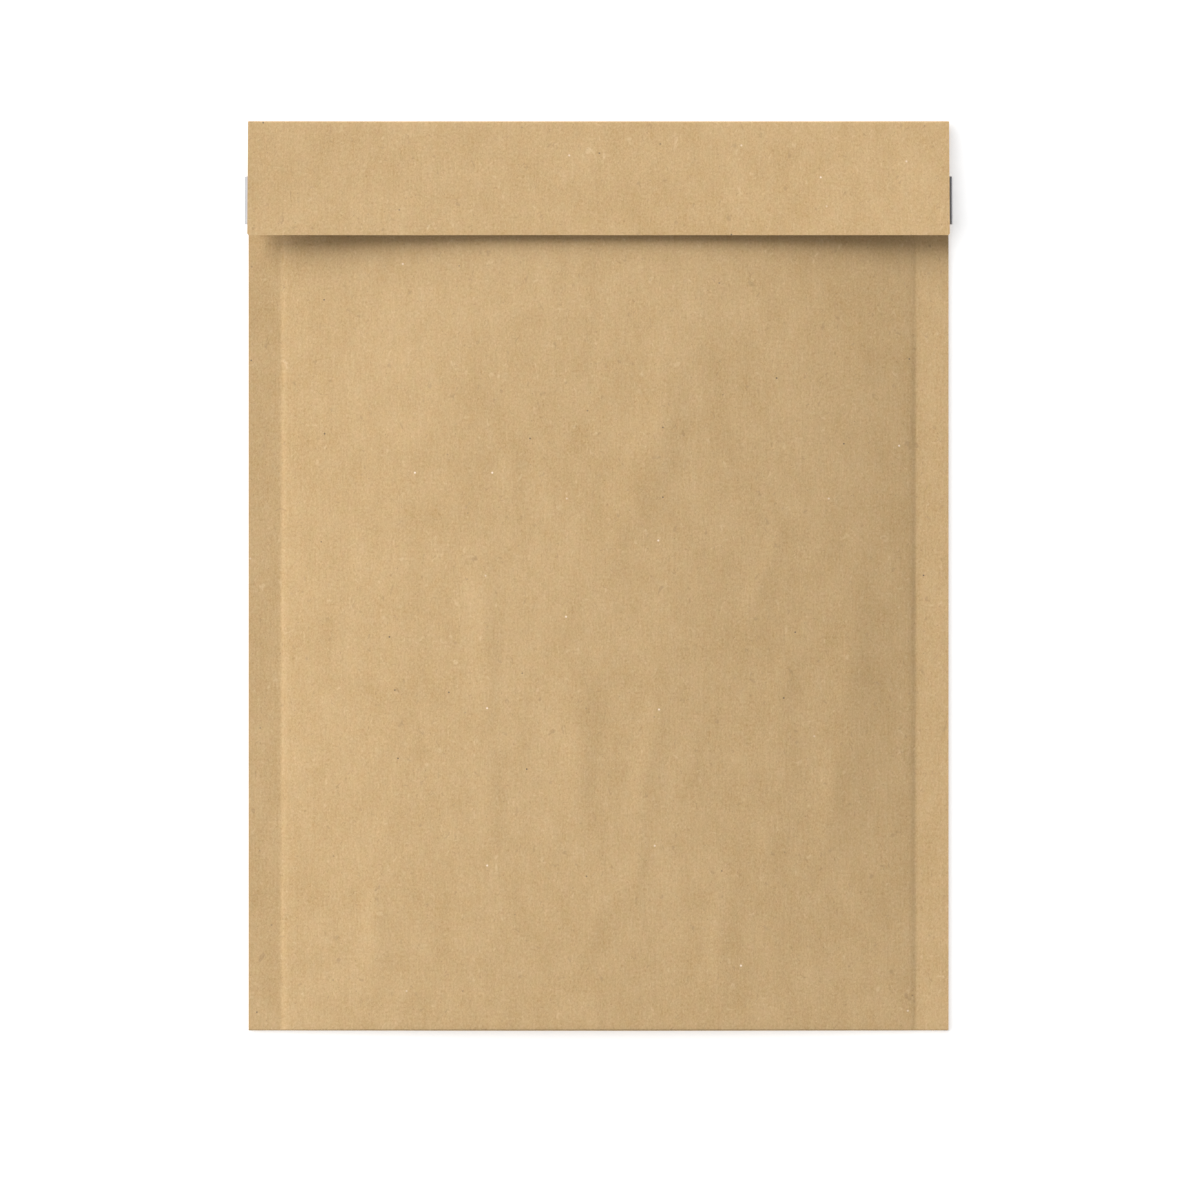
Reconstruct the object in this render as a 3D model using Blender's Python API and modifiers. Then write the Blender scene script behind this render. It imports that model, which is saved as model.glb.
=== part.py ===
"""Padded envelope: an unsealed kraft mailer lined with bubble film, lying flat with its flap side up.

Units are metres. +X runs across the envelope, +Y towards the flap fold, and +Z up from the surface
that it lies on. The origin is under the middle of the envelope, on that surface.
"""

import math

import bmesh
import bpy

# Envelope outline
WIDTH = 0.288  # across both side seams
LENGTH = 0.374  # bottom fold to flap fold
SEAM_WIDTH = 0.014  # flat welded band down each side
MOUTH_SETBACK = 0.006  # flap fold to the front panel's free edge
FLAP_LENGTH = 0.047  # flap fold to the flap's free edge

# Sheet thicknesses
PAPER = 0.0002  # kraft sheet
FILM_MARGIN = 0.0003  # bubble film crushed flat inside a side seam
ADHESIVE = 0.0002  # hot-melt strip on the flap
LINER = 0.0001  # siliconised release paper
GAP = 0.0003  # clearance kept where two pieces touch

# Padded bulge of the front panel above the side seams
BULGE_BOTTOM = 0.0040  # at the bottom fold
BULGE_MOUTH = 0.0036  # at the front panel's free edge
BULGE_EXTRA = 0.0036  # added midway between the two

# Underside: flat in the middle, where it rests, and rising towards the side seams
SEAM_LIFT = 0.0014  # surface to the underside of the side seams
LIFT_START = 0.085  # middle line to where the rise begins

# Folds: half ellipses, shallower than they are tall because they are pressed
BOTTOM_FOLD_SHARE = 0.14  # depth of the bottom fold as a share of its height
BOTTOM_FOLD_LEAST = 0.0002  # added to that depth
FLAP_FOLD_DEPTH = 0.0011
FLAP_FOLD_HEIGHT = 0.0068  # outside height of the flap where its fold ends
FLAP_SLOPE = 0.11  # the flap springs up towards its free edge

# Bubble film pocket
POCKET_EDGE = 0.006  # side seam to the pocket's edge
POCKET_LEAST = 0.0002  # pocket height at its edges
POCKET_MOUTH = 0.0008  # pocket height at the middle of the mouth
POCKET_GROWTH = 0.44  # share of the extra bulge that opens the pocket
FILM_END = 0.0012  # bubble film to the inside of the bottom fold
FILM_LAYER = 0.003  # one layer of bubble film
BACK_FILM_SETBACK = 0.003  # flap fold to the back layer's free edge

# Strip on the flap
ADHESIVE_LENGTH = 0.280
ADHESIVE_WIDTH = 0.015
LINER_LENGTH = 0.2904  # sticks out past both sides of the flap
LINER_WIDTH = 0.020
STRIP_SETBACK = 0.0143  # flap's free edge to the strip's middle line

# Mesh steps
PAD_COLUMNS = 18  # across the padded width
FRONT_ROWS = 16  # along the front panel
FOLD_STEPS = 8  # round each fold

# Derived places
HALF_WIDTH = WIDTH / 2
HALF_PAD = HALF_WIDTH - SEAM_WIDTH
HALF_POCKET = HALF_PAD - POCKET_EDGE
TOP_Y = LENGTH / 2
BOTTOM_Y = -LENGTH / 2
MOUTH_Y = TOP_Y - MOUTH_SETBACK
FLAP_EDGE_Y = TOP_Y - FLAP_LENGTH
FLAP_START_Y = TOP_Y - PAPER / 2 - FLAP_FOLD_DEPTH
SEAM_HEIGHT = 2 * PAPER + 2 * GAP + FILM_MARGIN
POCKET_TOP_Y = TOP_Y + 0.01  # the pocket's cutter runs out past the envelope
MOUTH_STEP = 0.0003  # length over which that cutter's ceiling rises clear of the front layer
ABOVE_ALL = 0.02  # higher than anything in the envelope

KRAFT = ("kraft_paper", (0.58, 0.40, 0.21), 0.85)
FILM = ("bubble_film", (0.86, 0.88, 0.90), 0.25)
GLUE = ("hot_melt_adhesive", (0.85, 0.78, 0.58), 0.30)
SILICONE_PAPER = ("release_paper", (0.86, 0.86, 0.87), 0.35)


def clear_scene():
    for obj in list(bpy.data.objects):
        bpy.data.objects.remove(obj)


def make_collection(name):
    collection = bpy.data.collections.new(name)
    bpy.context.scene.collection.children.link(collection)
    return collection


def make_material(name, colour, roughness):
    material = bpy.data.materials.new(name)
    material.use_nodes = True
    shader = material.node_tree.nodes["Principled BSDF"]
    shader.inputs["Base Color"].default_value = (*colour, 1)
    shader.inputs["Roughness"].default_value = roughness
    shader.inputs["Metallic"].default_value = 0
    return material


def add_object(name, bm, collection, finish=None):
    """A mesh object made from bm, with outward normals."""
    bmesh.ops.recalc_face_normals(bm, faces=bm.faces)
    mesh = bpy.data.meshes.new(name)
    bm.to_mesh(mesh)
    bm.free()
    if finish:
        mesh.materials.append(make_material(*finish))
    obj = bpy.data.objects.new(name, mesh)
    collection.objects.link(obj)
    return obj


def spread(start, end, steps):
    """steps + 1 values at even spacing from start to end."""
    return [start + (end - start) * i / steps for i in range(steps + 1)]


def pad_columns(half_width):
    """X places across a padded width, closer together near its two sides where it curves down."""
    return [half_width * math.sin(angle) for angle in spread(-math.pi / 2, math.pi / 2, PAD_COLUMNS)]


def bulge(x, y):
    """Height of the padded front panel above the side seams: a parabola across, and another along."""
    if abs(x) >= HALF_PAD:
        return 0
    along = min(max((y - BOTTOM_Y) / (MOUTH_Y - BOTTOM_Y), 0), 1)
    middle = BULGE_BOTTOM + (BULGE_MOUTH - BULGE_BOTTOM) * along + BULGE_EXTRA * 4 * along * (1 - along)
    return middle * (1 - (x / HALF_PAD) ** 2)


def lift(x):
    """Height of the underside above the surface that the envelope lies on."""
    share = min(max((abs(x) - LIFT_START) / (HALF_PAD - LIFT_START), 0), 1)
    return SEAM_LIFT * share * share * (3 - 2 * share)


def front_middle(x, y):
    """Middle of the front panel's paper."""
    return SEAM_LIFT + SEAM_HEIGHT + bulge(x, y) - PAPER / 2


def flap_middle(y):
    """Middle of the flap's paper."""
    return FLAP_FOLD_HEIGHT - PAPER / 2 + FLAP_SLOPE * (FLAP_START_Y - y)


def half_ellipse(y, depth, start_z, end_z):
    """(y, z) places round a fold that leaves y at start_z, reaches out by depth and returns at end_z."""
    centre = (start_z + end_z) / 2
    reach = (start_z - end_z) / 2
    return [(y + depth * math.sin(t), centre + reach * math.cos(t)) for t in spread(0, math.pi, FOLD_STEPS)]


def sheet_path(x):
    """(y, z) places along the middle of the folded sheet at one x, from the mouth round to the flap's edge."""
    floor_z = lift(x) + PAPER / 2
    bottom_height = front_middle(x, BOTTOM_Y) - floor_z
    depth = BOTTOM_FOLD_SHARE * bottom_height + BOTTOM_FOLD_LEAST
    fold_y = BOTTOM_Y + PAPER / 2 + depth
    front = [(y, front_middle(x, y)) for y in spread(MOUTH_Y, fold_y, FRONT_ROWS)]
    bottom_fold = half_ellipse(fold_y, -depth, front[-1][1], floor_z)
    flap_fold = half_ellipse(FLAP_START_Y, FLAP_FOLD_DEPTH, floor_z, flap_middle(FLAP_START_Y))
    flap = [(y, flap_middle(y)) for y in spread(FLAP_START_Y, FLAP_EDGE_Y, 2)]
    return front[:-1] + bottom_fold + flap_fold + flap[1:]


def grid_of(columns, rows):
    """A flat grid, and the (column, row) numbers of each of its vertices."""
    bm = bmesh.new()
    bmesh.ops.create_grid(bm, x_segments=columns - 1, y_segments=rows - 1, size=1)
    numbers = {
        vert: (round((vert.co.x + 1) / 2 * (columns - 1)), round((vert.co.y + 1) / 2 * (rows - 1)))
        for vert in bm.verts
    }
    return bm, numbers


def make_kraft_envelope(parts):
    """The outer sheet: one piece of paper folded at the bottom and over the mouth."""
    across = [-HALF_WIDTH, *pad_columns(HALF_PAD), HALF_WIDTH]
    paths = [sheet_path(x) for x in across]
    bm, numbers = grid_of(len(across), len(paths[0]))
    for vert, (column, row) in numbers.items():
        vert.co = (across[column], *paths[column][row])
    sheet = add_object("kraft_envelope", bm, parts, KRAFT)
    sheet.data.shade_smooth()
    sheet.data.set_sharp_from_angle(angle=math.radians(40))
    thickness = sheet.modifiers.new("paper thickness", "SOLIDIFY")
    thickness.thickness = PAPER
    thickness.offset = 0
    thickness.use_even_offset = True
    return sheet


def make_slab(name, across, along, bottom, top, collection, finish=None):
    """A closed block over a grid of places, whose underside and top follow two functions of (x, row)."""
    bm, numbers = grid_of(len(across), len(along))
    raised = bmesh.ops.extrude_face_region(bm, geom=bm.faces[:], use_keep_orig=True)["geom"]
    upper = [item for item in raised if isinstance(item, bmesh.types.BMVert)]
    lower_at = {(round(vert.co.x, 6), round(vert.co.y, 6)): vert for vert in numbers}
    for vert in upper:
        column, row = numbers[lower_at[(round(vert.co.x, 6), round(vert.co.y, 6))]]
        vert.co = (across[column], along[row], top(across[column], row))
    for vert, (column, row) in numbers.items():
        vert.co = (across[column], along[row], bottom(across[column], row))
    return add_object(name, bm, collection, finish)


def film_bottom(x):
    """Underside of the lining, over the back panel."""
    return lift(x) + PAPER + GAP


def film_top(x, y):
    """Top of the lining, under the front panel."""
    return front_middle(x, y) - PAPER / 2 - GAP


def pocket_height(x, y):
    """Height of the empty pocket between the two layers of bubble film."""
    middle = POCKET_MOUTH + POCKET_GROWTH * max(bulge(0, y) - BULGE_MOUTH, 0)
    share = max(1 - (x / HALF_POCKET) ** 2, 0)
    return POCKET_LEAST + (middle - POCKET_LEAST) * share


def make_bubble_lining(parts, cutters):
    """The bubble film: a pocket folded at the bottom, with its margins crushed flat in the side seams."""
    film_start_y = BOTTOM_Y + PAPER + FILM_END
    film_end_y = TOP_Y - BACK_FILM_SETBACK
    along = spread(film_start_y, film_end_y, FRONT_ROWS)
    lining = make_slab(
        "bubble_lining",
        [-HALF_WIDTH, *pad_columns(HALF_PAD), HALF_WIDTH],
        along,
        lambda x, row: film_bottom(x),
        lambda x, row: film_top(x, along[row]),
        parts,
        FILM,
    )

    # Past the mouth only the back layer goes on, so there the cutter reaches up through everything.
    inside = [*spread(film_start_y + FILM_LAYER, MOUTH_Y, FRONT_ROWS), MOUTH_Y + MOUTH_STEP, POCKET_TOP_Y]
    past_mouth = len(inside) - 2

    def pocket_middle(x, y):
        return (film_bottom(x) + film_top(x, y)) / 2

    def pocket_floor(x, row):
        return pocket_middle(x, inside[row]) - pocket_height(x, inside[row]) / 2

    def pocket_ceiling(x, row):
        if row >= past_mouth:
            return ABOVE_ALL
        return pocket_middle(x, inside[row]) + pocket_height(x, inside[row]) / 2

    pocket = make_slab("pocket_cutter", pad_columns(HALF_POCKET), inside, pocket_floor, pocket_ceiling, cutters)
    pocket.hide_render = True
    pocket.display_type = "WIRE"
    cut = lining.modifiers.new("pocket", "BOOLEAN")
    cut.operation = "DIFFERENCE"
    cut.solver = "EXACT"
    cut.object = pocket
    return lining


def make_flap_strip(name, length, width, thickness, below_flap, parts, finish):
    """A flat strip parallel to the flap, with its upper face below_flap under the flap's underside."""
    tilt = math.atan(FLAP_SLOPE)
    bpy.ops.mesh.primitive_cube_add(size=1)
    strip = bpy.context.object
    strip.name = name
    strip.data.name = name
    strip.scale = (length, width, thickness)
    bpy.ops.object.transform_apply(location=False, rotation=False, scale=True)
    middle_y = FLAP_EDGE_Y + STRIP_SETBACK
    drop = PAPER / 2 + below_flap + thickness / 2
    strip.location = (0, middle_y - drop * math.sin(tilt), flap_middle(middle_y) - drop * math.cos(tilt))
    strip.rotation_euler = (-tilt, 0, 0)
    strip.data.materials.append(make_material(*finish))
    for collection in list(strip.users_collection):
        collection.objects.unlink(strip)
    parts.objects.link(strip)
    return strip


def main():
    clear_scene()
    parts = make_collection("padded_envelope")
    cutters = make_collection("cutters")
    make_kraft_envelope(parts)
    make_bubble_lining(parts, cutters)
    make_flap_strip("adhesive_strip", ADHESIVE_LENGTH, ADHESIVE_WIDTH, ADHESIVE, GAP, parts, GLUE)
    liner_drop = GAP + ADHESIVE + GAP
    make_flap_strip("release_liner", LINER_LENGTH, LINER_WIDTH, LINER, liner_drop, parts, SILICONE_PAPER)


main()
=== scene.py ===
"""Looks of a padded envelope: a kraft mailer lined with bubble film, lying flat with its flap side up.

Units are metres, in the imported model's frame: +X across the envelope, +Y towards the flap's fold and
+Z up from the surface that it lies on.
"""

import math

import bmesh
import bpy
import numpy as np
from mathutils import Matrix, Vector, noise


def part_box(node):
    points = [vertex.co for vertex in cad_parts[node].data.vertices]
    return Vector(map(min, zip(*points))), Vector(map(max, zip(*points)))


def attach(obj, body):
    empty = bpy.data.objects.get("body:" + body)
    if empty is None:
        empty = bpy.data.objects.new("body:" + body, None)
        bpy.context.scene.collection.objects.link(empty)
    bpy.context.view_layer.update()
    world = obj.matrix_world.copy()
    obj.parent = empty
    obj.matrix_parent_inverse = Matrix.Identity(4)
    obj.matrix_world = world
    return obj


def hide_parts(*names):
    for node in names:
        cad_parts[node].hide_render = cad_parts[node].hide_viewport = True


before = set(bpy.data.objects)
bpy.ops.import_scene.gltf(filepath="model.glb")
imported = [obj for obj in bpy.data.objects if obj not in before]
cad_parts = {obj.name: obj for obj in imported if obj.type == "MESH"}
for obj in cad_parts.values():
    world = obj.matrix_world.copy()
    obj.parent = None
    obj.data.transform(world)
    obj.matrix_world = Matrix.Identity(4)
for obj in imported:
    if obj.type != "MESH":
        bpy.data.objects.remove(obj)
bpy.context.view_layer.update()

# The envelope's outline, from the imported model
ENVELOPE_LOW, ENVELOPE_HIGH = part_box("kraft_envelope")
LINER_LOW, LINER_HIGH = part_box("release_liner")
GLUE_LOW, GLUE_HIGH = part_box("adhesive_strip")
HALF_WIDTH = ENVELOPE_HIGH[0]
TOP_Y = ENVELOPE_HIGH[1]
BOTTOM_Y = ENVELOPE_LOW[1]

# Places inside that outline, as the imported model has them
HALF_PAD = HALF_WIDTH - 0.0137  # inner edge of each side seam
MOUTH_Y = TOP_Y - 0.006  # front panel's free edge
FLAP_EDGE_Y = TOP_Y - 0.0473  # flap's free edge
PAPER = 0.0002
SEAM_HEIGHT = 0.0013  # both papers and the crushed film
SEAM_LIFT = 0.0014  # surface to the underside of the side seams
LIFT_START = 0.085  # middle line to where the underside begins to rise
HALF_POCKET = HALF_PAD - 0.006
GROOVE_DEPTH = 0.00012  # in the back, along the inner edge of each seam
GROOVE_WIDTH = 0.0012

# Padded front panel
BULGE_BOTTOM = 0.0040
BULGE_MOUTH = 0.0036
BULGE_EXTRA = 0.0036
BULGE_POWER = 2.1  # above 2 keeps the middle flatter and the sides steeper
SEAM_STEP = 0.0003  # the padding's short rise beside a seam
SEAM_STEP_WIDTH = 0.0012
SEAM_EASE = 0.0005  # how gently the padding starts
PRESSED_END = 0.035  # from the mouth to where the seams' step starts to grow to its full height
PRESSED_FADE = 0.055
PRESSED_SHARE = 0.2  # of the step's height, at the mouth
SEAM_WANDER = 0.00025  # how far the weld's inner edge strays from straight

# Folds: half superellipses, rounder on the side that lies down
FOLD_POWER = 2.5
BOTTOM_FOLD_TOP = 0.12  # how far the upper half of the bottom fold stands out, as a share of its height
BOTTOM_FOLD_UNDER = 0.28  # the same for its lower half
BOTTOM_FOLD_LEAST = 0.0002
FLAP_FOLD_DEPTH = 0.0007
FLAP_FOLD_UNDER = 0.0012
FLAP_FOLD_HEIGHT = 0.0068
FLAP_SLOPE = 0.11
FLAP_CORNER = 0.0009  # radius of the flap's two cut corners
FLAP_START_Y = TOP_Y - PAPER / 2 - FLAP_FOLD_DEPTH

# Rows of vertices along each stretch of the sheet
FRONT_ROWS = 165
BACK_ROWS = 64
FLAP_ROWS = 23
FOLD_STEPS = 16

# Strips under the flap
GLUE_THICKNESS = 0.00018  # at its thinnest
GLUE_CROWN = 0.00022
LINER_DROP = 0.00068  # from the underside of the flap's paper
LINER_DROOP = 0.00012
LINER_PAPER = 0.0001

# Bubble film
BUBBLE_COLUMNS = 159  # film mesh steps across, a multiple of 3
FRONT_FILM_ROWS = 234  # film mesh steps down the front layer, round the fold and up the back layer
FOLD_FILM_ROWS = 6
BACK_FILM_ROWS = 231
BUBBLE_STEPS = 7  # mesh steps from one bubble's middle to the next
BUBBLE_RINGS = ((0, 1.0), (0.0026, 1.0), (0.0046, 0.8), (0.0052, 0.0))  # radius, share of full height
FILM_SKIN = 0.00008  # film between the bubbles
CRUSH_WIDTH = 0.001  # over which the film goes from bubbles to a seam's flat margin
CLEARANCE = 0.00005  # kept between pieces that touch
POCKET_LEAST = 0.0002
POCKET_MOUTH = 0.0008
POCKET_GROWTH = 0.44
FILM_FOLD_Y = BOTTOM_Y + 0.0045
BACK_FILM_TOP_Y = TOP_Y - 0.003

# Soft creases in the front panel: both ends, the width of the slope on each side of the crest, and height.
# The first width is on the left of a crease that runs down the panel.
CREASES = (
    ((-0.131, 0.011), (-0.094, -0.023), 0.0030, 0.0030, 0.00022),
    ((-0.098, -0.019), (-0.056, -0.030), 0.0040, 0.0040, 0.00016),
    ((-0.049, 0.010), (-0.047, -0.070), 0.0040, 0.0035, 0.00021),
    ((-0.048, -0.056), (-0.043, -0.122), 0.0040, 0.0035, 0.00019),
    ((-0.010, -0.026), (-0.009, -0.112), 0.0070, 0.0055, 0.00034),
    ((0.027, -0.030), (0.013, -0.112), 0.0045, 0.0040, 0.00022),
    ((0.019, -0.098), (0.011, -0.144), 0.0035, 0.0030, 0.00018),
    ((0.077, 0.026), (0.054, -0.026), 0.0022, 0.0035, 0.00012),
    ((0.076, -0.030), (0.072, -0.064), 0.0040, 0.0035, 0.00016),
    ((0.106, 0.000), (0.098, -0.066), 0.0040, 0.0060, 0.00024),
    ((0.098, -0.052), (0.090, -0.130), 0.0045, 0.0060, 0.00028),
    ((0.104, 0.015), (0.101, -0.120), 0.0120, 0.0120, 0.00042),
    ((0.071, -0.096), (0.066, -0.126), 0.0035, 0.0035, 0.00012),
    ((0.034, 0.096), (-0.003, -0.012), 0.0100, 0.0090, 0.00046),
    ((-0.036, 0.070), (-0.037, 0.024), 0.0035, 0.0035, 0.00019),
    ((-0.094, -0.112), (-0.094, -0.180), 0.0045, 0.0045, 0.00032),
    ((0.048, -0.134), (0.048, -0.182), 0.0035, 0.0040, 0.00018),
    ((0.109, 0.108), (0.107, 0.070), 0.0040, 0.0040, 0.00018),
    ((-0.118, 0.055), (-0.044, 0.048), 0.0050, 0.0080, 0.00024),
    ((0.050, 0.068), (0.098, 0.060), 0.0060, 0.0080, 0.00022),
)

# Studio
CAMERA_HEIGHT = 2.4
VIEW_WIDTH = 0.4943  # of the floor, across the picture
VIEW_CENTRE = (0.0006, -0.00985)
SENSOR = 36
# Turn from +Y towards -X, height and spread in degrees, then strength
KEY_LIGHT = (53, 27, 46, 4.95)
FILL_LIGHT = (108, 32, 60, 1.45)
FLOOR_LIGHT = (52, 50, 90, 2.62)
FLOOR_GLOW = 0.42  # light from the floor itself
SKY_STRENGTH = 0.22


# Shape


def smooth_noise(x, y, step_x, step_y, seed):
    """Noise from -1 to 1 at arrays of places, with features about step_x by step_y across."""
    x, y = np.broadcast_arrays(x, y)
    places = zip(x.ravel(), y.ravel(), strict=True)
    values = [noise.noise(Vector((a / step_x, b / step_y, seed))) for a, b in places]
    return np.reshape(values, x.shape)


def inside_seams(x, y):
    """Distance in from the nearer side seam, easing to nothing across the seam's inner edge."""
    wander = SEAM_WANDER * smooth_noise(np.sign(x), y, 1, 0.030, 3.7)
    reach = HALF_PAD + wander - np.abs(x)
    return (reach + np.sqrt(reach**2 + SEAM_EASE**2)) / 2


def bulge(x, y):
    """Height of the padded front panel above the side seams."""
    along = np.clip((y - BOTTOM_Y) / (MOUTH_Y - BOTTOM_Y), 0, 1)
    unpressed = np.clip((MOUTH_Y - y - PRESSED_END) / PRESSED_FADE, 0, 1)
    step = SEAM_STEP * (PRESSED_SHARE + (1 - PRESSED_SHARE) * unpressed)
    step = step * (1 + 0.5 * smooth_noise(np.sign(x), y, 1, 0.022, 17.3))
    middle = BULGE_BOTTOM + (BULGE_MOUTH - BULGE_BOTTOM) * along + BULGE_EXTRA * 4 * along * (1 - along)
    inside = inside_seams(x, y)
    across = 1 - (1 - np.minimum(inside / HALF_PAD, 1)) ** BULGE_POWER
    return middle * across + step * (1 - np.exp(-inside / SEAM_STEP_WIDTH))


def creases(x, y):
    """Low ridges along the listed lines, fading out at their ends."""
    total = 0
    for start, end, near_width, far_width, height in CREASES:
        start, end = np.array(start), np.array(end)
        run = end - start
        length = np.hypot(*run)
        way = run / length
        along = (x - start[0]) * way[0] + (y - start[1]) * way[1]
        share = np.clip(along / length, 0, 1)
        bend = 0.10 * length * share * (1 - share)
        off = (y - start[1]) * way[0] - (x - start[0]) * way[1] - bend
        width = np.where(off < 0, near_width, far_width)
        total = total + height * np.exp(-((off / width) ** 2)) * np.sin(math.pi * share) ** 1.2
    return total


def front_relief(x, y):
    """Small undulations of the paper over the bubbles, none at the seams."""
    inside = inside_seams(x, y)
    calm = inside / (inside + 0.010)
    waves = 0.00022 * smooth_noise(x, y, 0.030, 0.075, 1.3)
    ripples = 0.00007 * smooth_noise(x, y, 0.011, 0.026, 5.1)
    return calm * (waves + ripples + creases(x, y))


def front_middle(x, y):
    """Middle of the front panel's paper."""
    return SEAM_LIFT + SEAM_HEIGHT - PAPER / 2 + bulge(x, y) + front_relief(x, y)


def back_middle(x, y):
    """Middle of the back panel's paper, which rises to the seams and has a groove along each."""
    share = np.clip((np.abs(x) - LIFT_START) / (HALF_PAD - LIFT_START), 0, 1)
    lift = SEAM_LIFT * share**2 * (3 - 2 * share)
    groove = GROOVE_DEPTH * np.exp(-(((np.abs(x) - HALF_PAD) / GROOVE_WIDTH) ** 2))
    return PAPER / 2 + lift + groove + 0.00008 * smooth_noise(x, y, 0.040, 0.060, 8.2) ** 2


def flap_middle(x, y):
    """Middle of the flap's paper, which springs up towards its free edge."""
    rise = FLAP_START_Y - y
    calm = np.clip(rise / 0.02, 0, 1)
    waves = 0.00014 * smooth_noise(x, y, 0.060, 0.040, 12.6)
    waves = waves + 0.00004 * smooth_noise(x, y, 0.014, 0.020, 4.4)
    return FLAP_FOLD_HEIGHT - PAPER / 2 + FLAP_SLOPE * rise + calm * waves


def half_fold(steps):
    """(out, up) shares round a pressed fold, from its top to its bottom: half a superellipse."""
    turn = np.linspace(0, math.pi, steps + 1)
    out = np.sin(turn).clip(0) ** (2 / FOLD_POWER)
    up = np.sign(np.cos(turn)) * np.abs(np.cos(turn)) ** (2 / FOLD_POWER)
    return out[:, None], up[:, None]


# Meshes


def grid_faces(rows, columns, first=0):
    """Vertex numbers of the quads of a grid that has rows by columns vertices."""
    number = first + np.arange(rows * columns).reshape(rows, columns)
    corners = (number[:-1, :-1], number[:-1, 1:], number[1:, 1:], number[1:, :-1])
    return np.stack(corners, axis=-1).reshape(-1, 4)


def new_piece(name, points, faces):
    """A smooth-shaded mesh object."""
    mesh = bpy.data.meshes.new(name)
    mesh.from_pydata(np.reshape(points, (-1, 3)).tolist(), [], [list(face) for face in faces])
    piece = bpy.data.objects.new(name, mesh)
    bpy.context.scene.collection.objects.link(piece)
    mesh.shade_smooth()
    return piece


def close_up(piece):
    """Turns every face of a closed mesh outwards, and keeps its cut edges crisp."""
    bm = bmesh.new()
    bm.from_mesh(piece.data)
    bmesh.ops.recalc_face_normals(bm, faces=bm.faces)
    bm.to_mesh(piece.data)
    bm.free()
    piece.data.set_sharp_from_angle(angle=math.radians(50))


def give_sheet_map(piece, flat):
    """A UV map named Sheet that holds each vertex's place on the flat sheet, in metres."""
    layer = piece.data.uv_layers.new(name="Sheet")
    corners = np.empty(len(piece.data.loops), dtype=np.int32)
    piece.data.loops.foreach_get("vertex_index", corners)
    layer.data.foreach_set("uv", np.reshape(flat, (-1, 2))[corners].ravel().astype(np.float32))


def apply_modifiers(piece):
    """Replaces the piece's mesh with the one that its modifiers make."""
    evaluated = piece.evaluated_get(bpy.context.evaluated_depsgraph_get())
    made = bpy.data.meshes.new_from_object(evaluated)
    made.name = piece.name
    old = piece.data
    piece.modifiers.clear()
    piece.data = made
    bpy.data.meshes.remove(old)


def columns_across():
    """X places across the sheet: even over the padding, close at the seams' inner edges and the corners."""
    pad = np.linspace(0, HALF_PAD - 0.003, 56)
    seam_edge = HALF_PAD + np.linspace(-0.0025, 0.003, 12)
    seam = np.linspace(HALF_PAD + 0.0045, HALF_WIDTH - FLAP_CORNER * 1.5, 5)
    corner = HALF_WIDTH - FLAP_CORNER + FLAP_CORNER * np.sin(np.linspace(0, math.pi / 2, 5))
    half = np.concatenate((pad, seam_edge, seam, corner))
    return np.concatenate((-half[:0:-1], half))


def kraft_path(x):
    """(y, z) of every row of the folded sheet, from the mouth round to the flap's free edge."""
    fold_height = front_middle(x, np.full_like(x, BOTTOM_Y)) - PAPER / 2
    depth = BOTTOM_FOLD_TOP * fold_height + BOTTOM_FOLD_LEAST
    depth_under = BOTTOM_FOLD_UNDER * fold_height + BOTTOM_FOLD_LEAST
    fold_y = BOTTOM_Y + PAPER / 2 + depth
    back_fold_y = BOTTOM_Y + PAPER / 2 + depth_under

    share = np.linspace(0, 1, FRONT_ROWS)[:, None]
    front_y = MOUTH_Y + (fold_y - MOUTH_Y) * share
    front_z = front_middle(x[None, :], front_y)

    out, up = half_fold(FOLD_STEPS)
    low_z = back_middle(x, back_fold_y)
    bottom_y = BOTTOM_Y + PAPER / 2 + np.where(up > 0, depth, depth_under) * (1 - out)
    bottom_z = (front_z[-1] + low_z) / 2 + (front_z[-1] - low_z) / 2 * up

    back_end_y = TOP_Y - PAPER / 2 - FLAP_FOLD_UNDER
    back_y = back_fold_y + (back_end_y - back_fold_y) * np.linspace(0, 1, BACK_ROWS)[:, None]
    back_z = back_middle(x[None, :], back_y)

    high_z = flap_middle(x, np.full_like(x, FLAP_START_Y))
    flap_fold_y = TOP_Y - PAPER / 2 - np.where(up > 0, FLAP_FOLD_UNDER, FLAP_FOLD_DEPTH) * (1 - out)
    flap_fold_z = (high_z + back_z[-1]) / 2 - (high_z - back_z[-1]) / 2 * up
    flap_fold_y = np.broadcast_to(flap_fold_y, flap_fold_z.shape)

    past_corner = np.clip(np.abs(x) - (HALF_WIDTH - FLAP_CORNER), 0, FLAP_CORNER)
    edge_y = FLAP_EDGE_Y + FLAP_CORNER - np.sqrt(FLAP_CORNER**2 - past_corner**2)
    edge_y = edge_y + 0.00012 * smooth_noise(x, np.zeros_like(x), 0.050, 1, 21.0)
    flap_y = FLAP_START_Y + (edge_y - FLAP_START_Y) * np.linspace(0, 1, FLAP_ROWS)[:, None]
    flap_z = flap_middle(x[None, :], flap_y)

    y = np.concatenate((front_y[:-1], bottom_y, back_y[1:-1], flap_fold_y, flap_y[1:]))
    z = np.concatenate((front_z[:-1], bottom_z, back_z[1:-1], flap_fold_z, flap_z[1:]))
    return y, z


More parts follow.
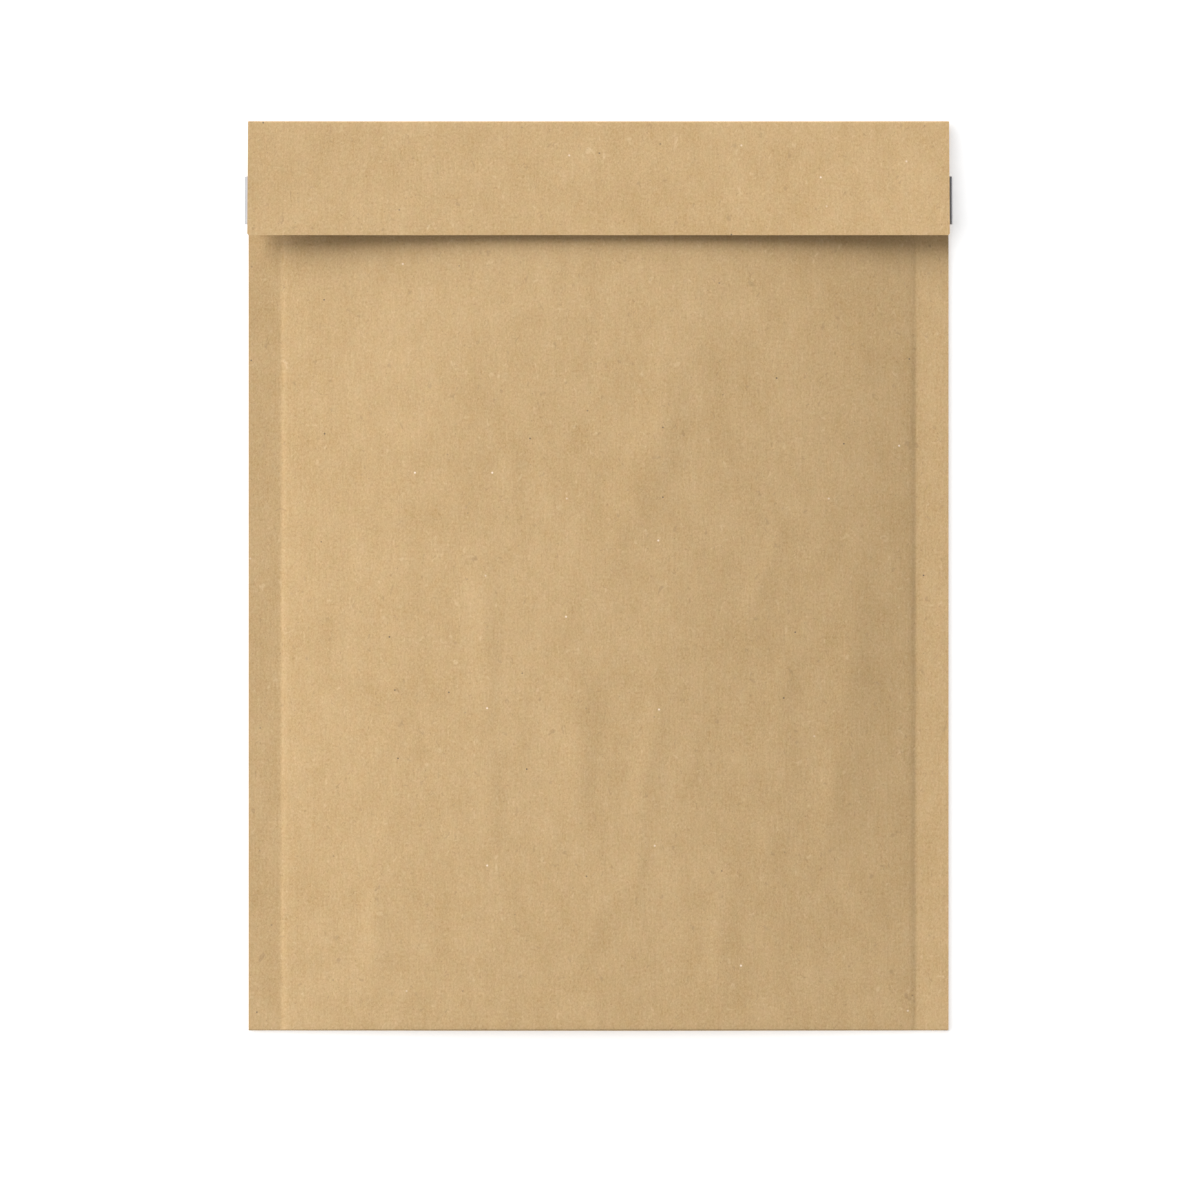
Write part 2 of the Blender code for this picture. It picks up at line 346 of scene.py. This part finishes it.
def make_kraft():
    """The outer sheet, folded once at the bottom and again over the mouth."""
    x = columns_across()
    y, z = kraft_path(x)
    points = np.stack((np.broadcast_to(x, y.shape), y, z), axis=-1)
    steps = np.hypot(np.diff(y, axis=0), np.diff(z, axis=0))
    run = np.concatenate((np.zeros((1, len(x))), np.cumsum(steps, axis=0)))
    piece = new_piece("kraft_sheet", points, grid_faces(*y.shape)[:, ::-1])
    give_sheet_map(piece, np.stack((np.broadcast_to(x, y.shape), run), axis=-1))
    for material in (kraft_face(), kraft_inside(), kraft_cut_edge()):
        piece.data.materials.append(material)
    thickness = piece.modifiers.new("paper thickness", "SOLIDIFY")
    thickness.thickness = PAPER
    thickness.offset = 0
    thickness.use_even_offset = True
    thickness.material_offset = 1
    thickness.material_offset_rim = 2
    apply_modifiers(piece)
    piece.data.set_sharp_from_angle(angle=math.radians(50))
    register(piece, "kraft_envelope")
    return piece


def pocket_faces(x, y):
    """Heights of the floor and the ceiling of the pocket between the two layers of film."""
    middle = (front_middle(x, y) + back_middle(x, y)) / 2
    centre_line = bulge(np.zeros_like(x), y)
    at_middle = POCKET_MOUTH + POCKET_GROWTH * np.maximum(centre_line - BULGE_MOUTH, 0)
    share = np.maximum(1 - (x / HALF_POCKET) ** 2, 0)
    half = (POCKET_LEAST + (at_middle - POCKET_LEAST) * share) / 2
    return middle - half, middle + half


def film_place(x, row):
    """The pocket face of the film at x and a row number, its outward direction and its room outwards.

    Rows run down the front layer from the mouth, round the fold and up the back layer.
    """
    front_end = FRONT_FILM_ROWS
    back_start = FRONT_FILM_ROWS + FOLD_FILM_ROWS
    down = np.clip(row / front_end, 0, 1)
    back = np.clip((row - back_start) / BACK_FILM_ROWS, 0, 1)
    turn = math.pi * np.clip((row - front_end) / FOLD_FILM_ROWS, 0, 1)
    on_front = row < (front_end + back_start) / 2
    front_y = MOUTH_Y + (FILM_FOLD_Y - MOUTH_Y) * down
    back_y = FILM_FOLD_Y + (BACK_FILM_TOP_Y - FILM_FOLD_Y) * back
    y = np.where(on_front, front_y, back_y)
    floor_z, ceiling_z = pocket_faces(x, y)
    middle = (floor_z + ceiling_z) / 2
    half = (ceiling_z - floor_z) / 2
    z = middle + half * np.cos(turn)
    y = y - half * np.sin(turn)
    direction = np.stack((np.zeros_like(x), -np.sin(turn), np.cos(turn)), axis=-1)
    front_room = front_middle(x, y) - PAPER / 2 - CLEARANCE - ceiling_z
    back_room = floor_z - back_middle(x, y) - PAPER / 2 - CLEARANCE
    room = front_room + (back_room - front_room) * (1 - np.cos(turn)) / 2
    return np.stack((x, y, z), axis=-1), direction, np.maximum(room, 2 * FILM_SKIN)


def film_lattice():
    """The film's fine mesh: x, row number and bubble height share at each vertex, in a triangular lattice.

    The vertices round each bubble's middle are moved onto circles, so that the bubbles are round.
    """
    rows = FRONT_FILM_ROWS + FOLD_FILM_ROWS + BACK_FILM_ROWS
    step = 2 * HALF_WIDTH / BUBBLE_COLUMNS
    row_step = step * math.sqrt(3) / 2
    column, row = np.meshgrid(np.arange(BUBBLE_COLUMNS + 1), np.arange(rows + 1))
    x = (column + 0.5 * (row % 2)) * step - HALF_WIDTH
    skew = column - row // 2
    best = np.full(x.shape, BUBBLE_STEPS)
    off_x = np.zeros(x.shape)
    off_row = np.zeros(x.shape)
    for shift_a in (0, BUBBLE_STEPS):
        for shift_b in (0, BUBBLE_STEPS):
            a = skew % BUBBLE_STEPS - shift_a
            b = row % BUBBLE_STEPS - shift_b
            ring = np.maximum.reduce((np.abs(a), np.abs(b), np.abs(a + b)))
            nearer = ring < best
            best = np.where(nearer, ring, best)
            off_x = np.where(nearer, (a + b / 2) * step, off_x)
            off_row = np.where(nearer, b, off_row)
    distance = np.hypot(off_x, off_row * row_step)
    height = np.zeros(x.shape)
    moved_x = x.astype(float)
    moved_row = row.astype(float)
    for ring, (radius, share) in enumerate(BUBBLE_RINGS):
        here = best == ring
        stretch = np.where(here & (ring > 0), radius / np.maximum(distance, 1e-9) - 1, 0)
        moved_x += off_x * stretch
        moved_row += off_row * stretch
        height = np.where(here, share, height)
    moved_row[[0, -1]] = [[0], [rows]]
    moved_row = np.clip(moved_row, 0, rows)
    moved_x = np.clip(moved_x, -HALF_WIDTH, HALF_WIDTH)
    moved_x[:, 0] = -HALF_WIDTH
    moved_x[:, -1] = HALF_WIDTH
    return moved_x, moved_row, height


def lattice_faces(rows, columns):
    """Triangles of the film's lattice, whose odd rows lie half a step along."""
    number = np.arange(rows * columns).reshape(rows, columns)
    even, above = number[:-1:2], number[1::2]
    low = (even[:, :-1], even[:, 1:], above[:, :-1], even[:, 1:], above[:, 1:], above[:, :-1])
    odd, over = number[1:-1:2], number[2::2]
    high = (odd[:, :-1], over[:, 1:], over[:, :-1], odd[:, :-1], odd[:, 1:], over[:, 1:])
    parts = [np.stack(part, axis=-1).reshape(-1, 3) for part in (low, high)]
    return np.concatenate(parts)


def edge_loop(number):
    """The vertex numbers round the outside of a grid."""
    return np.concatenate((number[0, :-1], number[:-1, -1], number[-1, :0:-1], number[:0:-1, 0]))


def make_film():
    """The bubble film: one web folded at the bottom, its bubbles outwards against the paper."""
    x, row, height = film_lattice()
    place, direction, room = film_place(x, row)
    crushed = np.clip((np.abs(x) - HALF_PAD) / CRUSH_WIDTH + 0.5, 0, 1)
    thickness = FILM_SKIN + (room - FILM_SKIN) * np.maximum(height, crushed)
    outer = place + direction * thickness[..., None]
    rows, columns = x.shape
    coarse_x, coarse_row = np.meshgrid(
        np.linspace(-HALF_WIDTH, HALF_WIDTH, BUBBLE_COLUMNS // 3 + 1), np.arange(0, rows, 3.0)
    )
    inner = film_place(coarse_x, coarse_row)[0]
    fine_number = np.arange(rows * columns).reshape(rows, columns)
    coarse_number = rows * columns + np.arange(coarse_x.size).reshape(coarse_x.shape)
    fine_loop = edge_loop(fine_number)
    coarse_loop = edge_loop(coarse_number)
    joins = []
    for k, near in enumerate(coarse_loop):
        far = coarse_loop[(k + 1) % len(coarse_loop)]
        a, b, c, d = (fine_loop[(3 * k + step) % len(fine_loop)] for step in range(4))
        joins += [(near, a, b), (near, b, c), (near, c, far), (far, c, d)]
    faces = [
        *lattice_faces(rows, columns).tolist(),
        *grid_faces(*coarse_x.shape, first=rows * columns).tolist(),
        *joins,
    ]
    points = np.concatenate((outer.reshape(-1, 3), inner.reshape(-1, 3)))
    piece = new_piece("bubble_web", points, faces)
    close_up(piece)
    piece.data.materials.append(bubble_film())
    register(piece, "bubble_lining")
    return piece


def make_strip(name, x, y, upper_drop, lower_drop, material, node):
    """A closed strip that follows the flap's underside, between two depths below the flap's middle."""
    tilt = math.atan(FLAP_SLOPE)
    flap_z = flap_middle(x, y)
    sides = []
    for drop in (upper_drop, lower_drop):
        drop = np.broadcast_to(drop, x.shape)
        sides.append(np.stack((x, y - drop * math.sin(tilt), flap_z - drop * math.cos(tilt)), axis=-1))
    rows, columns = x.shape
    number = np.arange(rows * columns).reshape(rows, columns)
    upper_loop = edge_loop(number)
    lower_loop = upper_loop + rows * columns
    walls = np.stack((upper_loop, np.roll(upper_loop, -1), np.roll(lower_loop, -1), lower_loop), axis=-1)
    faces = np.concatenate((grid_faces(rows, columns), grid_faces(rows, columns, rows * columns), walls))
    piece = new_piece(name, np.concatenate([side.reshape(-1, 3) for side in sides]), faces)
    close_up(piece)
    piece.data.materials.append(material)
    register(piece, node)
    return piece


def make_glue():
    """The hot-melt strip: a thin bead with an uneven outline, thinner at its edges."""
    across = np.linspace(-1, 1, 15)
    along = np.linspace(GLUE_LOW[0], GLUE_HIGH[0], 141)
    x, share = np.meshgrid(along, across)
    half = (GLUE_HIGH[1] - GLUE_LOW[1]) / 2
    end = np.clip((GLUE_HIGH[0] - np.abs(x)) / 0.0015, 0, 1)
    half = half * (0.93 + 0.07 * np.sqrt(end)) + 0.00022 * smooth_noise(x, np.sign(share), 0.009, 1, 31.0)
    y = (GLUE_HIGH[1] + GLUE_LOW[1]) / 2 + share * half
    bead = GLUE_THICKNESS + GLUE_CROWN * np.sqrt(np.clip(1 - share**4, 0, 1)) * (0.4 + 0.6 * end)
    bead = bead + 0.00003 * smooth_noise(x, y, 0.006, 0.004, 33.0)
    upper = PAPER / 2 + 2 * CLEARANCE
    lower = upper + bead
    return make_strip("glue_bead", x, y, upper, lower, hot_melt(), "adhesive_strip")


def make_liner():
    """The release paper, its two ends standing out past the flap and dropping a little."""
    along = np.linspace(LINER_LOW[0], LINER_HIGH[0], 146)
    across = np.linspace(LINER_LOW[1], LINER_HIGH[1], 12)
    x, y = np.meshgrid(along, across)
    past_glue = np.clip(np.abs(x) - GLUE_HIGH[0], 0, None)
    droop = LINER_DROOP * (past_glue / (LINER_HIGH[0] - GLUE_HIGH[0])) ** 2
    waves = 0.00005 * smooth_noise(x, y, 0.020, 0.015, 41.0)
    upper = PAPER / 2 + LINER_DROP + droop + waves
    lower = upper + LINER_PAPER
    return make_strip("liner_tape", x, y, upper, lower, release_paper(), "release_liner")


def register(piece, node):
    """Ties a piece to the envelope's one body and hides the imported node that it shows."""
    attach(piece, "root")
    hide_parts(node)


# Materials


class Shader:
    """Builds one material's nodes. A value that is a socket is linked, and any other is set."""

    def __init__(self, name):
        self.material = bpy.data.materials.new(name)
        self.material.use_nodes = True
        self.tree = self.material.node_tree
        self.surface = self.tree.nodes["Principled BSDF"]

    def node(self, kind, values=None, **settings):
        made = self.tree.nodes.new(kind)
        for name, value in settings.items():
            setattr(made, name, value)
        self.set(made, values or {})
        return made

    def set(self, node, values):
        for key, value in values.items():
            if isinstance(value, bpy.types.NodeSocket):
                self.tree.links.new(value, node.inputs[key])
            else:
                node.inputs[key].default_value = value

    def math(self, operation, first, second=0.0, clamp=False):
        made = self.node("ShaderNodeMath", {0: first, 1: second}, operation=operation, use_clamp=clamp)
        return made.outputs[0]

    def place(self, scale, offset=(0, 0, 0), turn=0.0):
        """Sheet coordinates in metres times scale."""
        flat = self.node("ShaderNodeUVMap", uv_map="Sheet").outputs[0]
        values = {"Vector": flat, "Location": offset, "Rotation": (0, 0, turn), "Scale": (*scale, 1)}
        return self.node("ShaderNodeMapping", values).outputs[0]

    def noise(self, step_x, step_y, detail=2.0, roughness=0.5, offset=(0, 0, 0), distortion=0.0):
        """Noise from 0 to 1 with features about step_x by step_y metres across."""
        values = {
            "Vector": self.place((1 / step_x, 1 / step_y), offset),
            "Scale": 1,
            "Detail": detail,
            "Roughness": roughness,
            "Distortion": distortion,
        }
        return self.node("ShaderNodeTexNoise", values, noise_dimensions="2D").outputs[0]

    def ramp(self, value, start, end, low=0.0, high=1.0):
        """value eased from low at start to high at end."""
        values = {0: value, 1: start, 2: end, 3: low, 4: high}
        return self.node("ShaderNodeMapRange", values, interpolation_type="SMOOTHSTEP").outputs[0]

    def mix(self, share, first, second, blend="MIX"):
        made = self.node("ShaderNodeMix", data_type="RGBA", blend_type=blend)
        self.set(made, {0: share, 6: first, 7: second})
        return made.outputs[2]

    def weigh(self, parts):
        """0.5 plus the sum of (value - 0.5) times each weight."""
        total = 0.5
        for value, weight in parts:
            centred = self.math("SUBTRACT", value, 0.5)
            total = self.math("ADD", total, self.math("MULTIPLY", centred, weight))
        return total

    def bump(self, height, distance, strength=1.0, normal=None):
        values = {"Height": height, "Distance": distance, "Strength": strength}
        if normal is not None:
            values["Normal"] = normal
        return self.node("ShaderNodeBump", values).outputs[0]


KRAFT_DARK = (0.400, 0.256, 0.107, 1)
KRAFT_LIGHT = (0.580, 0.409, 0.222, 1)


def kraft_flecks(shader, step, radius, keep, offset):
    """A mask of sparse round flecks: one in some cells of a grid of that step."""
    cell = shader.node(
        "ShaderNodeTexVoronoi",
        {"Vector": shader.place((1 / step, 1 / step), offset), "Scale": 1, "Randomness": 1},
        voronoi_dimensions="2D",
        feature="F1",
    )
    spot = shader.ramp(cell.outputs["Distance"], radius / step * 0.6, radius / step, 1, 0)
    pick = shader.node("ShaderNodeSeparateColor", {0: cell.outputs["Color"]})
    chosen = shader.math("LESS_THAN", pick.outputs[0], keep)
    size = shader.ramp(pick.outputs[1], 0, 1, 0.35, 1)
    return shader.math("MULTIPLY", shader.math("MULTIPLY", spot, chosen), size)


def kraft_fibres(shader, step, width, offset):
    """A mask of short curly hairs: pieces of one contour line of a noise, kept only here and there."""
    field = shader.noise(step, step * 1.4, 1, 0.4, offset, 0.8)
    off_line = shader.math("ABSOLUTE", shader.math("SUBTRACT", field, 0.5))
    line = shader.ramp(off_line, 0, 0.9 * width / step, 1, 0)
    kept = shader.ramp(shader.noise(0.0032, 0.0042, 1, 0.5, (offset[1], offset[0], 0)), 0.62, 0.70)
    return shader.math("MULTIPLY", line, kept)


def kraft_colour(shader):
    """Mottled kraft with faint streaks along the web, and its relief height."""
    broad = shader.noise(0.050, 0.075, 2, 0.5, (3.1, 0.7, 0))
    cloud = shader.noise(0.010, 0.017, 3, 0.55, (1.7, 5.2, 0))
    streak = shader.noise(0.0010, 0.010, 2, 0.5, (0.3, 9.1, 0))
    grain = shader.noise(0.00075, 0.00095, 2, 0.65, (7.7, 2.4, 0), 0.6)
    curl = shader.noise(0.0016, 0.0020, 2, 0.6, (6.1, 8.8, 0), 2.5)
    tone = shader.weigh(((broad, 0.30), (cloud, 0.42), (streak, 0.28), (grain, 1.20), (curl, 0.55)))
    colour = shader.mix(tone, KRAFT_DARK, KRAFT_LIGHT)
    redness = shader.noise(0.0035, 0.0045, 4, 0.6, (9.4, 3.3, 0))
    red_tint = shader.mix(redness, (1.035, 0.983, 0.985, 1), (0.965, 1.017, 1.015, 1))
    colour = shader.mix(1.0, colour, red_tint, "MULTIPLY")
    blueness = shader.noise(0.0040, 0.0050, 4, 0.6, (0.8, 6.6, 0))
    blue_tint = shader.mix(blueness, (1, 1, 1.07, 1), (1, 1, 0.93, 1))
    colour = shader.mix(1.0, colour, blue_tint, "MULTIPLY")
    pale_hairs = kraft_fibres(shader, 0.0080, 0.00022, (2.2, 4.6, 0))
    dark_hairs = kraft_fibres(shader, 0.0065, 0.00022, (8.1, 1.9, 0))
    colour = shader.mix(shader.math("MULTIPLY", pale_hairs, 0.20), colour, (0.80, 0.62, 0.40, 1))
    colour = shader.mix(shader.math("MULTIPLY", dark_hairs, 0.28), colour, (0.22, 0.14, 0.07, 1))
    pale = kraft_flecks(shader, 0.034, 0.00050, 0.20, (0.4, 0.9, 0))
    dark = kraft_flecks(shader, 0.027, 0.00042, 0.32, (5.3, 3.3, 0))
    specks = kraft_flecks(shader, 0.0060, 0.00026, 0.42, (2.9, 7.3, 0))
    colour = shader.mix(shader.math("MULTIPLY", pale, 0.8), colour, (0.90, 0.76, 0.62, 1))
    colour = shader.mix(shader.math("MULTIPLY", dark, 0.85), colour, (0.09, 0.075, 0.06, 1))
    colour = shader.mix(shader.math("MULTIPLY", specks, 0.50), colour, (0.20, 0.13, 0.065, 1))
    height = shader.weigh(((grain, 0.6), (streak, 0.4), (curl, 0.4), (cloud, 0.4)))
    return colour, height


def kraft_face():
    """The mailer's outside: matt machine-glazed kraft."""
    shader = Shader("kraft face")
    colour, height = kraft_colour(shader)
    rough = shader.ramp(shader.noise(0.006, 0.012, 2, 0.5, (4.0, 4.0, 0)), 0.3, 0.7, 0.66, 0.78)
    normal = shader.bump(height, 0.00012, 0.5)
    values = {"Base Color": colour, "Roughness": rough, "Normal": normal, "Specular IOR Level": 0.3}
    shader.set(shader.surface, values)
    return shader.material


def kraft_inside():
    """The mailer's inside: the same kraft under a thin clear film."""
    shader = Shader("kraft inside")
    colour, height = kraft_colour(shader)
    rough = shader.ramp(shader.noise(0.010, 0.010, 2, 0.5, (6.0, 1.0, 0)), 0.3, 0.7, 0.28, 0.42)
    normal = shader.bump(height, 0.00008, 0.4)
    shader.set(shader.surface, {"Base Color": colour, "Roughness": rough, "Normal": normal})
    return shader.material


def kraft_cut_edge():
    """Trimmed edges: paler and rougher, with fibres showing."""
    shader = Shader("kraft cut edge")
    fibre = shader.noise(0.0004, 0.0004, 2, 0.7, (1.0, 2.0, 0))
    colour = shader.mix(fibre, (0.42, 0.29, 0.15, 1), (0.60, 0.44, 0.25, 1))
    normal = shader.bump(fibre, 0.00010, 0.6)
    shader.set(shader.surface, {"Base Color": colour, "Roughness": 0.9, "Normal": normal})
    return shader.material


def object_noise(shader, scale, detail=2.0):
    """Noise from 0 to 1 in the piece's own space, with scale features a metre."""
    where = shader.node("ShaderNodeTexCoord").outputs["Object"]
    return shader.node("ShaderNodeTexNoise", {"Vector": where, "Scale": scale, "Detail": detail}).outputs[0]


def bubble_film():
    """Clear polythene, a little milky, with a faintly uneven surface and a soft gloss."""
    shader = Shader("bubble film")
    haze = object_noise(shader, 120, 3)
    colour = shader.mix(haze, (0.80, 0.83, 0.86, 1), (0.93, 0.95, 0.97, 1))
    rough = shader.ramp(object_noise(shader, 350), 0.3, 0.7, 0.10, 0.22)
    normal = shader.bump(object_noise(shader, 900), 0.00005, 0.3)
    values = {
        "Base Color": colour,
        "Roughness": rough,
        "Normal": normal,
        "Transmission Weight": 0.35,
        "IOR": 1.45,
    }
    shader.set(shader.surface, values)
    return shader.material


def hot_melt():
    """Pressure-sensitive hot melt: pale amber, tacky and glossy."""
    shader = Shader("hot melt")
    flow = object_noise(shader, 260, 3)
    colour = shader.mix(flow, (0.62, 0.50, 0.30, 1), (0.84, 0.76, 0.56, 1))
    rough = shader.ramp(object_noise(shader, 500), 0.3, 0.7, 0.15, 0.32)
    normal = shader.bump(flow, 0.0002, 0.5)
    shader.set(shader.surface, {"Base Color": colour, "Roughness": rough, "Normal": normal})
    return shader.material


def release_paper():
    """Siliconised liner: smooth and pale grey, with a faint cloudy formation."""
    shader = Shader("release paper")
    cloud = object_noise(shader, 180, 3)
    colour = shader.mix(cloud, (0.47, 0.475, 0.50, 1), (0.56, 0.565, 0.58, 1))
    rough = shader.ramp(object_noise(shader, 400), 0.3, 0.7, 0.30, 0.42)
    normal = shader.bump(object_noise(shader, 1500), 0.00003, 0.3)
    shader.set(shader.surface, {"Base Color": colour, "Roughness": rough, "Normal": normal})
    return shader.material


def floor_finish():
    """A plain white acrylic sweep, softly lit from below."""
    shader = Shader("floor")
    tone = object_noise(shader, 3, 2)
    colour = shader.mix(tone, (0.89, 0.89, 0.89, 1), (0.91, 0.91, 0.91, 1))
    values = {
        "Base Color": colour,
        "Roughness": 0.95,
        "Specular IOR Level": 0.1,
        "Emission Color": (1, 1, 1, 1),
        "Emission Strength": FLOOR_GLOW,
    }
    shader.set(shader.surface, values)
    return shader.material


# Studio


def make_floor():
    """The pale surface that the envelope lies on."""
    bpy.ops.mesh.primitive_plane_add(size=14)
    floor = bpy.context.object
    floor.name = "floor"
    floor.data.materials.append(floor_finish())
    return floor


def make_sun(name, turn, height, spread, strength, lit):
    """A soft distant lamp, turned from +Y towards -X, that lights only the listed objects."""
    lamp = bpy.data.lights.new(name, "SUN")
    lamp.energy = strength
    lamp.angle = math.radians(spread)
    sun = bpy.data.objects.new(name, lamp)
    turn, height = math.radians(turn), math.radians(height)
    level = math.cos(height)
    towards = Vector((-math.sin(turn) * level, math.cos(turn) * level, math.sin(height)))
    sun.location = towards * 3
    sun.rotation_euler = towards.to_track_quat("Z", "Y").to_euler()
    bpy.context.scene.collection.objects.link(sun)
    receivers = bpy.data.collections.new(name + " lights")
    for thing in lit:
        receivers.objects.link(thing)
    sun.light_linking.receiver_collection = receivers


def make_lights(pieces, floor):
    """A low key from the upper left, a weak fill, a steeper lamp for the floor and a white sky."""
    make_sun("key", *KEY_LIGHT, pieces)
    make_sun("fill", *FILL_LIGHT, pieces)
    make_sun("floor lamp", *FLOOR_LIGHT, [floor])
    world = bpy.data.worlds.new("studio")
    world.use_nodes = True
    sky = world.node_tree.nodes["Background"]
    sky.inputs["Color"].default_value = (1, 1, 1, 1)
    sky.inputs["Strength"].default_value = SKY_STRENGTH
    bpy.context.scene.world = world


def make_camera():
    """Straight above, looking down, with +Y up in the picture."""
    lens = bpy.data.cameras.new("camera")
    lens.sensor_width = SENSOR
    lens.lens = SENSOR * CAMERA_HEIGHT / VIEW_WIDTH
    lens.clip_end = 100
    camera = bpy.data.objects.new("camera", lens)
    camera.location = (*VIEW_CENTRE, CAMERA_HEIGHT)
    bpy.context.scene.collection.objects.link(camera)
    bpy.context.scene.camera = camera


envelope = [make_kraft(), make_film(), make_glue(), make_liner()]
make_lights(envelope, make_floor())
make_camera()
bpy.context.scene.view_settings.view_transform = "Standard"
